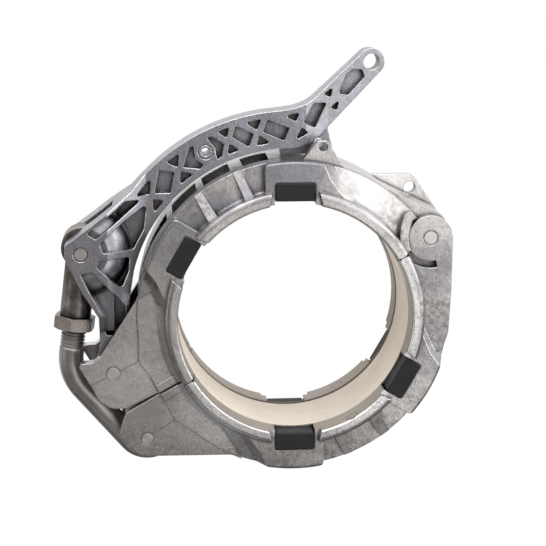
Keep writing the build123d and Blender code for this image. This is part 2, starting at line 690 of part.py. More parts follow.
def yoke_cheeks():
    """Domes about the link pin and walls beside the slot that close the pockets towards it."""
    x, z = LINK_PIVOT
    wide, narrow, low, high = 34.6, 19.0, SLOT_HALF, YOKE_HALF - 4
    shoulder = ThreePointArc((wide, low), (31.4, 23.0), (narrow, high))
    profile = make_face([Line((0, low), (wide, low)), shoulder, Line((narrow, high), (0, high)),
                         Line((0, high), (0, low))])
    dome = Pos(x, 0, z) * revolve(profile, axis=Axis.Y, revolution_arc=360)
    beside = outline([(x - 40, z + 60), (x + 29, z + 60), (x + 22, z), (x + 22, z - 60), (x - 40, z - 60)])
    return dome + mirror(dome, Plane.XZ) + slab(beside, LEVER_WEB / 2, SLOT_HALF + ARM_WALL)


def link_slot():
    """Slot for the barrel's eye, open to the left and at the top."""
    x, z = LINK_PIVOT
    shape = outline([(x + 24.3, z + 45), (x + 17.2, z), (x + 2.0, z - 82), (x - 60, z - 82),
                     (x - 60, z + 45)])
    return plate(shape, SLOT_HALF)


def root_waist():
    """Turned waist that lets the lever's root pass between the foot plates."""
    x, z = FULCRUM
    (low_x, low_z), (high_x, high_z) = FOOT_EDGE
    slope = atan2(high_z - low_z, high_x - low_x)
    out_x, out_z = -FOOT_EDGE_GAP * sin(slope), FOOT_EDGE_GAP * cos(slope)
    behind = slab(outline([
        (x + low_x + out_x - 20, z + low_z + out_z - 2), (x + low_x + out_x, z + low_z + out_z),
        (x + high_x + out_x, z + high_z + out_z), (x + high_x + 20, z + high_z + 10),
        (x + high_x + 20, z - 50), (x - 50, z - 50)]), ROOT_HALF, YOKE_HALF + 1)
    start = hypot(24.2, 12.0) + 2.0
    rise = YOKE_HALF - ROOT_HALF
    outer = YOKE_HALF + 1
    profile = Polygon((0, ROOT_HALF), (start, ROOT_HALF), (start + rise * 1.2, outer), (0, outer), align=None)
    waist = Pos(FULCRUM[0], 0, FULCRUM[1]) * revolve(profile, axis=Axis.Y, revolution_arc=360)
    return waist + mirror(waist, Plane.XZ) + behind


def lock_tab():
    """Tab under the beam that rests over the rim, with the hole for a safety pin."""
    x, z = LOCK_PLACE
    shape = rounded([beyond(0.8, 94), (x - 8, HOUSING_R + 0.9), (x + 8.5, HOUSING_R + 0.4),
                     (x + 9.6, z - 3.5), (x + 5.8, z + 12), at(LEVER_IN + 8, 93)], [1, 0, 3, 3, 0, 0])
    return plate(shape, LOCK_THICK / 2)


def lever():
    front = lever_outline()
    whole = plate(front, YOKE_HALF) & extrude(lever_plan(), FAR, both=True)
    body = whole - lever_pockets() - yoke_pockets() + (yoke_cheeks() & whole)
    body += plate(moved(Circle(BOSS_RADIUS), BOSS_PLACE), LEVER_HALF)
    groove = moved(Circle(BOSS_RADIUS - 1.0) - Circle(BOSS_RADIUS - 1.7), BOSS_PLACE)
    body -= slab(groove, LEVER_HALF - 0.4, LEVER_HALF + 1)
    body += lock_tab()
    body -= link_slot() + root_waist()
    body -= rod(FULCRUM, FULCRUM_PIN + 2 * PIN_FIT, FAR)
    body -= rod(LINK_PIVOT, LINK_PIN, FAR)
    body -= slab(moved(Circle(LINK_PIN_RECESS / 2), LINK_PIVOT), YOKE_HALF - 2, YOKE_HALF + 1)
    body -= rod(HANDLE_END, HANDLE_HOLE, FAR)
    body -= rod(BOSS_PLACE, BOSS_HOLE, FAR)
    body -= rod(LOCK_PLACE, LOCK_HOLE, FAR)
    return body


# Tie rod: barrel, jam nut and bent rod, built along the barrel's axis

LINK_DIRECTION = -90 - LINK_TILT
NUT_START = BARREL_LENGTH + 0.3


def along(distance):
    """Point on the barrel's axis, measured from the link pin."""
    return about(LINK_PIVOT, distance, LINK_DIRECTION)


def axis_plane(distance):
    """Plane square to the barrel's axis at this distance."""
    x, z = along(distance)
    dx, dz = at(1, LINK_DIRECTION)
    return Plane(origin=(x, 0, z), x_dir=(0, 1, 0), z_dir=(dx, 0, dz))


def link_barrel():
    eye = rod(LINK_PIVOT, 2 * BARREL_EYE, BARREL_D / 2)
    shank = extrude(axis_plane(0) * Circle(BARREL_D / 2), BARREL_LENGTH)
    body = eye + shank
    body -= rod(LINK_PIVOT, LINK_PIN + 2 * PIN_FIT, FAR)
    bore = axis_plane(BARREL_LENGTH - BARREL_BORE_DEPTH) * Circle(ROD_D / 2 + THREAD_FIT)
    return body - extrude(bore, BARREL_BORE_DEPTH + 1)


def jam_nut():
    """Hexagon nut with its corners turned off at both ends."""
    hexagon = RegularPolygon(NUT_AF / 2, 6, major_radius=False)
    body = extrude(axis_plane(NUT_START) * Rot(Z=NUT_TURN) * hexagon, NUT_HEIGHT)
    radius = NUT_AF / 2
    face, corner = radius * 1.02, radius * 1.2
    profile = Polygon((0, 0), (face, 0), (corner, NUT_HEIGHT * 0.12), (corner, NUT_HEIGHT * 0.88),
                      (face, NUT_HEIGHT), (0, NUT_HEIGHT), align=None)
    turned_form = revolve(Plane.XZ * profile, axis=Axis.Z, revolution_arc=360)
    body &= axis_plane(NUT_START).location * turned_form
    return body - extrude(axis_plane(NUT_START - 1) * Circle(ROD_D / 2 + THREAD_FIT), NUT_HEIGHT + 2)


def rod_path():
    """Centre line of the rod: down from the barrel, a bend, and the eye round the fork's pin."""
    start = along(BARREL_LENGTH - BARREL_BORE_DEPTH + 2)
    knee = along(BEND_DROP)
    x, z = FORK_PIVOT
    reach = hypot(x - knee[0], z - knee[1])
    heading = degrees(atan2(z - knee[1], x - knee[0])) - degrees(asin(EYE_RADIUS / reach))
    turn = heading - LINK_DIRECTION
    back = BEND_RADIUS * sin(radians(turn / 2)) / cos(radians(turn / 2))
    bend_from = along(BEND_DROP - back)
    bend_to = about(knee, back, heading)
    touch = about(FORK_PIVOT, EYE_RADIUS, heading - 90)
    middle = about(FORK_PIVOT, EYE_RADIUS, heading - 90 + EYE_WRAP / 2)
    end = about(FORK_PIVOT, EYE_RADIUS, heading - 90 + EYE_WRAP)
    centre = about(bend_from, BEND_RADIUS, LINK_DIRECTION + 90)
    bend_mid = about(centre, BEND_RADIUS, LINK_DIRECTION - 90 + turn / 2)
    flat = [Line(start, bend_from), ThreePointArc(bend_from, bend_mid, bend_to), Line(bend_to, touch),
            ThreePointArc(touch, middle, end)]
    return Wire([Plane.XZ * edge for edge in flat])


def link_rod():
    start = along(BARREL_LENGTH - BARREL_BORE_DEPTH + 2)
    dx, dz = at(1, LINK_DIRECTION)
    section = Plane(origin=(start[0], 0, start[1]), x_dir=(0, 1, 0), z_dir=(dx, 0, dz)) * Circle(ROD_D / 2)
    return sweep(section, path=rod_path())


def eye_bush():
    """Bush in the rod's eye, the part of the lower pin that the eye carries."""
    return rod(FORK_PIVOT, 2 * (EYE_RADIUS - ROD_D / 2) - 0.2, ROD_D / 2)


# Pins

def lower_pin():
    """Pin in the fork, in front of and behind the eye."""
    return slab(moved(Circle(FORK_PIN / 2), FORK_PIVOT), FORK_SLOT / 2, FORK_HALF)


FOOT = foot_plates()
FORK = fork_plates()
PARTS = {
    "upper_half": upper_half(),
    "foot_front": one_of_pair(FOOT, True),
    "foot_rear": one_of_pair(FOOT, False),
    "lock_ear": front_ear(),
    "rear_lug": rear_lug(),
    "lower_half": lower_half(),
    "fork_front": one_of_pair(FORK, True),
    "fork_rear": one_of_pair(FORK, False),
    "gasket": gasket(),
    "lever": lever(),
    "link_barrel": link_barrel(),
    "jam_nut": jam_nut(),
    "link_rod": link_rod(),
    "eye_bush": eye_bush(),
    "fulcrum_pin": rod(FULCRUM, FULCRUM_PIN, FOOT_HALF),
    "link_pin": rod(LINK_PIVOT, LINK_PIN, YOKE_HALF - 1),
    "lower_pin": lower_pin(),
    "hinge_pin": rod(HINGE, HINGE_PIN, EAR_OUT),
}
for name, angle in PAD_ANGLES.items():
    PARTS["pad_front_" + name] = pad(angle, True)
    PARTS["pad_rear_" + name] = pad(angle, False)

for name, solid in PARTS.items():
    solid.label = name
    export_step(solid, "parts/" + name + ".step")
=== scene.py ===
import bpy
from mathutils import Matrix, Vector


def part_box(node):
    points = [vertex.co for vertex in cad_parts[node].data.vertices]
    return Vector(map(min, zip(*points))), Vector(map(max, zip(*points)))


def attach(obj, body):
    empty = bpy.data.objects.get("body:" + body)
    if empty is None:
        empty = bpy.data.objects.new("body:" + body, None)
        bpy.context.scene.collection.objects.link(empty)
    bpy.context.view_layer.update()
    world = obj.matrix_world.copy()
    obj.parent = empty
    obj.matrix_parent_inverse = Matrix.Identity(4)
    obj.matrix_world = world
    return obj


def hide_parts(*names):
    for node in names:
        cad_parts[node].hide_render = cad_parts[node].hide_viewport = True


bl_info = {
    "name": "Grooved Pipe Coupling",
    "version": (1, 0, 0),
    "blender": (4, 5, 0),
    "location": "3D View > Sidebar > Coupling",
    "description": "Dresses the hinged pipe coupling with its seal, threaded tie rod, finishes and studio",
    "category": "Object",
}

from math import asin, atan2, cos, hypot, pi, radians, sin, tan

import bmesh
import bpy
from bpy.props import FloatProperty, FloatVectorProperty, IntProperty, PointerProperty
from bpy.types import Operator, Panel, PropertyGroup
from mathutils import Vector

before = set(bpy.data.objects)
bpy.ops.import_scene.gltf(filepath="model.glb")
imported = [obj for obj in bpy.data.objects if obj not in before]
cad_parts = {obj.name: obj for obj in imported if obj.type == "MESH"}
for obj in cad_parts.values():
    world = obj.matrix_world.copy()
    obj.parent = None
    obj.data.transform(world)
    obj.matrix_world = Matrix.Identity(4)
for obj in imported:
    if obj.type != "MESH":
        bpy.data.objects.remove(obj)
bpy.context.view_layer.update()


# Sizes read from the frame

def middle(node):
    """Centre of a piece of the frame."""
    low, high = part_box(node)
    return (low + high) / 2


def reach(node, axis):
    """Size of a piece of the frame along one axis."""
    low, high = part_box(node)
    return (high - low)[axis]


PADS = [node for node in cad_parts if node.startswith("pad_")]
SEAL_HALF = reach("gasket", 1) / 2
SEAL_OUTER = reach("gasket", 0) / 2
ROD_RADIUS = reach("link_rod", 1) / 2

# The lips' bore is this much smaller in radius than the frame's plain gasket
SEAL_GAP = 0.00015
LIP_RADIUS = min(hypot(v.co.x, v.co.z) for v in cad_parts["gasket"].data.vertices) - SEAL_GAP

# Seal: corner radius at its back and the steps round it, steps across one ridge, where the flare starts
SEAL_CORNER = 0.0012
CORNER_STEPS = 4
RIDGE_STEPS = 8
FLARE_START = 0.80
SEAL_SEGMENTS = 240

# Rod: points round it, chamfer at its ends, usual step along it, fewest steps on a run, steps on the plain
# run above the bend
ROD_SIDES = 48
ROD_CHAMFER = 0.0010
ROD_STEP = 0.0015
FEWEST_STEPS = 4
PLAIN_STEPS = 6

# Thread: steps in one turn, turns over which it fades out, and above 1 how flat its roots are
THREAD_STEPS = 12
THREAD_FADE = 1.5
THREAD_ROOT = 1.25

# Patches of the castings' skin: x, z, radius, strength; a patch is full inside a share of its radius
# The highlight patches are painted highlights: brighter skin standing in for light on those faces
UPPER_PAINTED_HIGHLIGHTS = ((0.050, 0.088, 0.034, 0.42), (-0.122, -0.046, 0.042, 0.40))
UPPER_OXIDE = ((-0.003, 0.103, 0.036, 0.9), (-0.090, 0.062, 0.030, 0.7), (-0.0515, 0.083, 0.011, 0.95),
               (-0.0345, 0.091, 0.009, 0.7), (-0.0695, 0.0695, 0.010, 0.8), (0.099, 0.034, 0.020, 0.5))
LOWER_PAINTED_HIGHLIGHTS = ((-0.062, -0.072, 0.036, 0.55),)
LOWER_OXIDE = ((0.100, -0.020, 0.030, 0.5), (0.099, 0.034, 0.026, 0.75))
PALE_PAINTED_HIGHLIGHTS = ((0.074, 0.094, 0.032, 0.50),)
LEVER_OXIDE = ((0.0, 0.10, 0.60, 0.92),)
PATCH_CORE = 0.4

# Round marks of ejector pins: x, y, z, radius; how far from its rim a mark begins and is full
LOWER_MARKS = ((0.0411, -0.0445, -0.0724, 0.0042), (0.0401, 0.0380, -0.0729, 0.0042),
               (0.0509, -0.0430, -0.0866, 0.0055))
LEVER_MARKS = ((-0.1047, -0.0350, 0.0847, 0.0022),)
MARK_RIM = (0.0007, 0.0002)

# The castings: their pieces, and what sets each finish apart
CASTINGS = (
    (("upper_half", "foot_front", "foot_rear"),
     {"name": "cast_upper", "shift": 0.0, "pitting": 0.5, "painted_highlights": UPPER_PAINTED_HIGHLIGHTS, "oxide": UPPER_OXIDE,
      "lip_painted_highlight": 0.40}),
    (("lower_half", "fork_front", "fork_rear"),
     {"name": "cast_lower", "shift": 0.37, "marks": LOWER_MARKS, "painted_highlights": LOWER_PAINTED_HIGHLIGHTS,
      "oxide": LOWER_OXIDE, "lip_painted_highlight": 1.0}),
    (("lever",),
     {"name": "cast_lever", "shift": 0.74, "marks": LEVER_MARKS, "staining": 0.8, "pitting": 0.4,
      "oxide": LEVER_OXIDE}),
    (("lock_ear", "rear_lug"),
     {"name": "cast_pale", "shift": 1.1, "staining": 0.3, "pitting": 0.4, "painted_highlights": PALE_PAINTED_HIGHLIGHTS}),
)

# Patterns of the castings' skin: features in a metre, detail, roughness, distortion
WAVES = (15.0, 1.0, 0.5, 0.3)
CLOUDS = (26.0, 5.0, 0.6, 0.4)
MOTTLE = (230.0, 6.0, 0.72, 0.2)
GRAIN = (1100.0, 4.0, 0.7)
PITS = (620.0, 4.0)
STREAKS = (1.0, 5.0, 0.65, 0.8)
STREAKS_ALONG = (24.0, 240.0, 80.0)

# Reach of the corners and of the pockets where shade is painted, in metres
CORNER_REACH = 0.005
POCKET_REACH = 0.028

# Masks of the castings' skin: where each begins and is full, then its values there if not 0 and 1
# Creases get painted shade
CREASE_SHADE = (0.9996, 0.9976)
# Edges: partly real wear, partly painted highlight
WORN_HIGHLIGHT_EDGE = (0.962, 0.83)
WORN_HIGHLIGHT_OPEN = (0.45, 0.8)
# The lip faces get a painted highlight
LIP_FACE_HIGHLIGHT = (LIP_RADIUS + 0.0062, LIP_RADIUS + 0.0040)
# The lip bores get painted shade
BORE_SHADE_BAND = (LIP_RADIUS + 0.0007, LIP_RADIUS + 0.0003)
STAIN_CLOUDS = (0.42, 0.60, 0.12, 1.3)
STAIN_MOTTLE = (0.42, 0.62, 0.15, 1.0)
STAIN_STREAKS = (0.54, 0.70)
SPECK_GRAIN = (0.58, 0.72)
SPECK_MOTTLE = (0.56, 0.44)
PIT_CORE = (0.57, 0.70)
PIT_CLOUDS = (0.38, 0.60)
# Pockets and corners get painted shade
POCKET_SHADE = (0.50, 0.10, 0.0, 0.7)
CORNER_SHADE = (0.82, 0.32, 0.0, 1.0)
SKIN_ROUGH = (0.35, 0.65, 0.19, 0.31)
SKIN_ROUGH_FINE = (0.35, 0.65, -0.03, 0.06)

# Shares of the layers laid on the castings
HIGHLIGHT_FULL = 0.5
HIGHLIGHT_STAINS = 0.15
STREAK_SHARE = 0.45
SPECK_SHARE = 0.35
PIT_LEAST, PIT_MOST = 0.15, 0.7
CREASE_SHADE_SHARE = 0.6
BORE_SHADE_SHARE = 0.85
MARK_SHARE, MARK_DEPTH = 0.55, 0.35

# Roughness is lower on the worn, highlighted edges and higher on the lip bores by this much
WORN_SMOOTH = -0.12
BORE_ROUGH = 0.25

# Relief of the castings: weight of each pattern, height in metres, strength
RELIEF_GRAIN, RELIEF_MOTTLE, RELIEF_CLOUDS, RELIEF_WAVES = 0.10, 0.18, 0.5, 2.4
CAST_RELIEF = (0.0007, 0.9)

# Edges of steel and pads: where their mask begins and is full
FINE_EDGE = (0.992, 0.86)

# Samples that find the rounded edges, and those that find the open places
ROUND_SAMPLES, OPEN_SAMPLES = 4, 6

# Blasted steel: patterns as above, rounding as a share of the castings', reach of its painted corner shade
STEEL_CLOUDS = (60.0, 5.0, 0.6, 0.3)
STEEL_GRAIN = (2600.0, 3.0, 0.7)
STEEL_PITS = (700.0, 4.0, 0.6)
STEEL_ROUND = 0.8
STEEL_REACH = 0.014

# Blasted steel: masks as above, shares of its layers, relief
STEEL_PALER = (0.4, 0.66)
STEEL_CORNER_SHADE = (0.85, 0.35, 0.0, 0.85)
STEEL_PIT_CORE = (0.62, 0.74, 0.0, 0.5)
STEEL_EDGE_SHARE = 0.4
STEEL_SHADE_TONE = 0.15
STEEL_RELIEF_GRAIN = 0.5
STEEL_RELIEF = (0.00012, 0.8)

# Roughness of the steels, and how much more it is in the paler clouds
ROD_ROUGH, BARREL_ROUGH, NUT_ROUGH = 0.33, 0.30, 0.22
STEEL_ROUGH_CLOUDS = (0.35, 0.65)
STEEL_ROUGH_MORE = 0.1

# Pins and pads: rounding of their edges in metres, mask of their clouds
FINE_ROUND = 0.0005
FINE_CLOUDS = (0.4, 0.7, 0.0, 0.6)

# Pins: brightness of each, its duller clouds, metres between turning rings, pattern, roughness, relief
PIN_TONES = (("fulcrum_pin", 0.75), ("link_pin", 0.55), ("lower_pin", 0.72), ("hinge_pin", 0.95))
PIN_DULL = 0.7
TURNING = 0.00045
PIN_CLOUDS = (240.0, 4.0)
PIN_ROUGH = (0.3, 0.7, 0.28, 0.42)
PIN_RELIEF_RINGS = 0.5
PIN_RELIEF = (0.00004, 0.7)

# Pads: patterns, greyed clouds and edges as factors on the black, roughness, sheen, relief
PAD_CLOUDS = (120.0, 4.0)
PAD_GRAIN = (3000.0, 2.0)
PAD_GREY, PAD_EDGE_GREY = 1.8, 3.0
PAD_EDGE_SHARE = 0.5
PAD_ROUGH = (0.3, 0.7, 0.48, 0.62)
PAD_SPECULAR = 0.35
PAD_RELIEF = (0.00006, 0.6)

# Seal's skin: patterns, dusty clouds and dark rings as factors on the cream, masks, roughness, relief
SEAL_CLOUDS = (30.0, 5.0, 0.6)
SEAL_GRAIN = (1800.0, 2.0)
SEAL_RINGS = (1.0, 3.0, 0.6, 0.0)
SEAL_RINGS_ALONG = (8.0, 900.0, 8.0)
SEAL_DUST, SEAL_RING_TONE = 0.9, 0.74
SEAL_DUST_CLOUDS = (0.35, 0.7)
SEAL_RING_MASK = (0.55, 0.75, 0.0, 0.5)
SEAL_ROUGH = (0.3, 0.7, 0.42, 0.55)
SEAL_SPECULAR = 0.3
SEAL_RELIEF_GRAIN = 0.3
SEAL_RELIEF = (0.00012, 0.5)

# Floor: its half width, its front edge, the share of its glow in what sees it directly
FLOOR_HALF = 3.0
FLOOR_FRONT = -0.45
FLOOR_GLOW = 0.94

# Faint clouds on the floor: pattern, mask, how much darker they are as a factor on its tone
FLOOR_CLOUDS = (3.0, 2.0)
FLOOR_CLOUD_MASK = (0.3, 0.7)
FLOOR_CLOUD_TONE = 0.98

# Glow of the floor in reflections, by depth: a painted shadow under the part, fading far back, a paler band
# in front
FLOOR_SHADOW_UNDER = (0.10, 0.32, 0.14, 1.0)
FLOOR_FAR = (0.75, 1.2, 1.0, 0.42)
BAND_FRONT = (-0.25, -0.19, 0.0, 0.40)
BAND_BACK = (-0.05, -0.11)

# The room that metal reflects, laid over white: direction, cosines where it begins and is full, colour.
# In order: the room in front, the left, low behind, the ground in front, a window on the right with a calmer
# middle, the ground on the right, the left in front, and a panel high in front.
WHITE = (1.0, 1.0, 1.0)
ROOM = (
    ((-0.1, -0.95, -0.3), 0.1, 0.75, (0.275, 0.261, 0.254)),
    ((-0.9, 0.2, 0.0), 0.5, 0.95, (0.50, 0.47, 0.44)),
    ((0.0, 0.9, -0.44), 0.80, 0.98, (0.42, 0.40, 0.39)),
    ((0.0, -0.45, -0.9), 0.62, 0.95, (0.20, 0.186, 0.174)),
    ((0.75, -0.65, 0.05), 0.695, 0.84, (2.15, 2.12, 2.10)),
    ((0.75, -0.65, 0.05), 0.88, 0.94, (1.1, 1.08, 1.06)),
    ((0.62, -0.30, -0.72), 0.80, 0.95, (0.10, 0.092, 0.085)),
    ((-0.9, -0.45, 0.0), 0.75, 0.95, (0.30, 0.288, 0.276)),
    ((0.0, -0.6, 0.8), 0.56, 0.76, (1.4, 1.4, 1.46)),
)

# Softboxes: name, place, width, height, watts, colour, all aimed at one point
LAMPS = (
    ("softbox_top", (-0.15, -0.25, 0.95), 0.9, 0.7, 4.0, (1.0, 1.0, 1.0)),
    ("softbox_right", (0.95, -0.55, 0.25), 0.35, 0.8, 2.0, (0.97, 0.98, 1.0)),
    ("softbox_left", (-1.0, -0.35, 0.15), 0.3, 0.8, 0.8, (1.0, 0.98, 0.96)),
)
LAMP_AIM = (-0.02, 0.0, 0.02)

# Camera: place and heading in metres, lens and sensor in millimetres
CAMERA_PLACE = (-0.09986, -1.07196, 0.25201)
CAMERA_HEADING = (0.07962, 0.97509, -0.20705)
CAMERA_LENS, CAMERA_SENSOR = 98.9, 36.0
CAMERA_NEAR, CAMERA_FAR = 0.01, 20.0


# Settings

def colour(name, description, value):
    """Colour setting in linear values."""
    return FloatVectorProperty(name=name, description=description, default=value, size=3, subtype="COLOR",
                               min=0.0, max=1.0)


def length(name, description, value):
    """Length setting in metres."""
    return FloatProperty(name=name, description=description, default=value, unit="LENGTH", precision=4)


def angle(name, description, degrees):
    """Angle setting."""
    return FloatProperty(name=name, description=description, default=radians(degrees), subtype="ANGLE")


class CouplingSizes(PropertyGroup):
    """Sizes of the pieces that scene.py makes."""
    seal_bore: length("Seal bore", "Radius over the crests of the seal's ridges", 0.08340)
    seal_ridge: length("Seal ridge", "Height of the fine ridges inside the seal", 0.0008)
    seal_ridges: IntProperty(name="Seal ridges", description="Fine ridges across the seal", default=9, min=3)
    seal_flare: length("Seal flare", "How far the seal's edges turn outward", 0.0014)
    thread_pitch: length("Thread pitch", "Pitch of the thread on the tie rod", 0.0025)
    thread_depth: length("Thread depth", "Depth of that thread", 0.0012)
    thread_end: length("Thread end", "Distance from the link pin to the thread's end", 0.0770)
    rod_start: length("Rod start", "Distance from the link pin to the rod's upper end", 0.0234)
    rod_knee: length("Rod knee", "Distance from the link pin to the corner of the rod's bend", 0.0957)
    rod_bend: length("Rod bend", "Radius of the rod's bend along its middle", 0.0340)
    rod_eye: length("Rod eye", "Radius of the rod's eye along its middle", 0.0158)
    rod_tilt: angle("Rod tilt", "Lean of the rod from the vertical", 7.3)
    rod_wrap: angle("Rod wrap", "How far the eye goes round the lower pin", 240)
    edge_round: length("Edge rounding", "Radius that the cast edges appear to have", 0.0010)
    floor_drop: length("Floor", "Height of the floor under the bore's centre", -0.26)


class CouplingFinish(PropertyGroup):
    """Colours of the finishes."""
    cast: colour("Casting", "Bare die-cast aluminium", (0.62, 0.60, 0.585))
    cast_stain: colour("Casting stain", "Darker patches of the casting's skin", (0.31, 0.296, 0.29))
    cast_cool: colour("Casting oxide", "Blue-grey oxide on the lever and the top block", (0.35, 0.35, 0.405))
    # Also the colour of the painted highlights on the lip faces, bright patches and edges
    cast_bright_and_highlight: colour("Casting bright", "Burnished specks and edges", (0.92, 0.92, 0.92))
    # Also the painted shade in pockets, corners and creases, besides pits and ejector-mark rims
    cast_soil_and_shade: colour("Casting soil", "Brownish film deep in the pockets", (0.06, 0.052, 0.045))
    # Painted shade on the inside of the lips
    bore_shade: colour("Bore film", "Rubber film on the inside of the lips", (0.31, 0.26, 0.205))
    # The barrel is the rod's steel darkened: painted shade
    barrel: colour("Barrel steel", "Darker steel of the tie rod's barrel", (0.100, 0.085, 0.076))
    steel: colour("Rod steel", "Blasted and passivated steel of the tie rod", (0.34, 0.31, 0.288))
    steel_pale: colour("Rod steel, pale", "Paler clouds in the tie rod's skin", (0.46, 0.425, 0.40))
    nut: colour("Nut steel", "Machined steel of the jam nut", (0.25, 0.226, 0.211))
    pin: colour("Pin steel", "Ground ends of the pins", (0.78, 0.73, 0.70))
    pad: colour("Pad", "Black moulded guide pads", (0.008, 0.008, 0.0095))
    seal: colour("Seal", "Cream elastomer", (0.76, 0.69, 0.59))
    floor: colour("Floor", "Pale studio floor", (0.92, 0.92, 0.92))


# Node building

def opaque(tone):
    """Colour as a colour socket takes it, or the socket itself."""
    return tone if isinstance(tone, bpy.types.NodeSocket) else (*tone[:3], 1.0)


def scaled(tone, share):
    """Colour made darker or lighter by one factor."""
    return tuple(share * c for c in tone)


class Nodes:
    """A node tree under construction, with short ways to add and join its nodes."""

    def __init__(self, tree, coordinates):
        self.tree = tree
        self.tree.nodes.clear()
        self.place = self.add("ShaderNodeTexCoord").outputs[coordinates]

    def add(self, kind, sockets=None, **settings):
        """Adds a node, sets its options, and joins or sets its sockets."""
        node = self.tree.nodes.new(kind)
        for key, value in settings.items():
            setattr(node, key, value)
        for key, value in (sockets or {}).items():
            socket = node.inputs[key]
            if isinstance(value, bpy.types.NodeSocket):
                self.tree.links.new(value, socket)
            else:
                socket.default_value = value
        return node

    def span(self, value, low, high, to_low=0.0, to_high=1.0, **settings):
        """Value carried from one range to another, clamped."""
        return self.add("ShaderNodeMapRange", {
            "Value": value, "From Min": low, "From Max": high, "To Min": to_low, "To Max": to_high,
        }, **settings).outputs[0]

    def math(self, operation, first, second=0.0):
        """Sum, product or the like of two values."""
        return self.add("ShaderNodeMath", {0: first, 1: second}, operation=operation).outputs[0]

    def number(self, operation, first, second):
        """Number from two vectors."""
        node = self.add("ShaderNodeVectorMath", {0: first, 1: second}, operation=operation)
        return node.outputs["Value"]

    def blend(self, share, first, second):
        """Colour between two colours."""
        sockets = {0: share, 6: opaque(first), 7: opaque(second)}
        return self.add("ShaderNodeMix", sockets, data_type="RGBA").outputs[2]


class Finish(Nodes):
    """A material under construction, patterned in metres from the bore's centre."""

    def __init__(self, name, shift=None):
        self.material = bpy.data.materials.new(name)
        self.material.use_nodes = True
        super().__init__(self.material.node_tree, "Object")
        self.true_place = self.place
        if shift is not None:
            moved = self.add("ShaderNodeMapping", {"Vector": self.place, "Location": shift})
            self.place = moved.outputs[0]

    def noise(self, scale, detail, roughness=0.55, distortion=0.0, place=None):
        """Cloudy pattern, scale in features in a metre."""
        return self.add("ShaderNodeTexNoise", {
            "Vector": place or self.place, "Scale": scale, "Detail": detail, "Roughness": roughness,
            "Distortion": distortion}).outputs[0]

    def stretched(self, x, y, z):
        """Coordinates scaled along each axis, for streaks."""
        return self.add("ShaderNodeMapping", {"Vector": self.place, "Scale": (x, y, z)}).outputs[0]

    def distance(self, point):
        """Distance from a point of the part."""
        return self.number("DISTANCE", self.true_place, point)

    def from_line(self, x=0.0, z=0.0):
        """Distance from the line through x and z that runs along the pipe."""
        sockets = {0: self.true_place, 1: (1.0, 0.0, 1.0)}
        flat = self.add("ShaderNodeVectorMath", sockets, operation="MULTIPLY").outputs[0]
        return self.number("DISTANCE", flat, (x, 0.0, z))

    def weighed(self, *parts):
        """Sum of values, each times its own weight."""
        total = None
        for value, weight in parts:
            part = self.math("MULTIPLY", value, weight)
            total = part if total is None else self.math("ADD", total, part)
        return total

    def layered(self, base, *layers):
        """Colours laid on a base one after another, each by its own mask."""
        for share, tone in layers:
            base = self.blend(share, base, tone)
        return base

    def soft_normal(self, radius):
        """Normal that rounds the edges."""
        return self.add("ShaderNodeBevel", {"Radius": radius}, samples=ROUND_SAMPLES).outputs[0]

    def edges(self, normal, low, high):
        """Mask of the edges, from how far the rounded normal leans away."""
        flat = self.add("ShaderNodeNewGeometry").outputs["Normal"]
        return self.span(self.number("DOT_PRODUCT", normal, flat), low, high)

    def openness(self, distance):
        """How open the surface is to its surroundings, 0 in deep corners."""
        sockets = {"Distance": distance}
        return self.add("ShaderNodeAmbientOcclusion", sockets, samples=OPEN_SAMPLES).outputs["AO"]

    def bump(self, height, distance, strength, normal=None):
        """Normal with fine relief."""
        sockets = {"Height": height, "Distance": distance, "Strength": strength}
        if normal is not None:
            sockets["Normal"] = normal
        return self.add("ShaderNodeBump", sockets).outputs[0]

    def surface(self, sockets):
        """Closes the material with its shader."""
        shader = self.add("ShaderNodeBsdfPrincipled", sockets)
        self.add("ShaderNodeOutputMaterial", {0: shader.outputs[0]})
        return self.material


def ejector_marks(f, marks):
    """Rims of the round marks that ejector pins leave: 1 on a rim, 0 elsewhere."""
    total = 0.0
    for x, y, z, radius in marks:
        rim = f.math("ABSOLUTE", f.math("SUBTRACT", f.distance((x, y, z)), radius))
        total = f.math("MAXIMUM", f.span(rim, *MARK_RIM), total)
    return total


def patches(f, places):
    """Soft round patches of the skin as one mask, each strongest in its middle."""
    total = 0.0
    for x, z, radius, most in places:
        patch = f.span(f.from_line(x, z), radius, PATCH_CORE * radius, 0.0, most)
        total = f.math("MAXIMUM", patch, total)
    return total


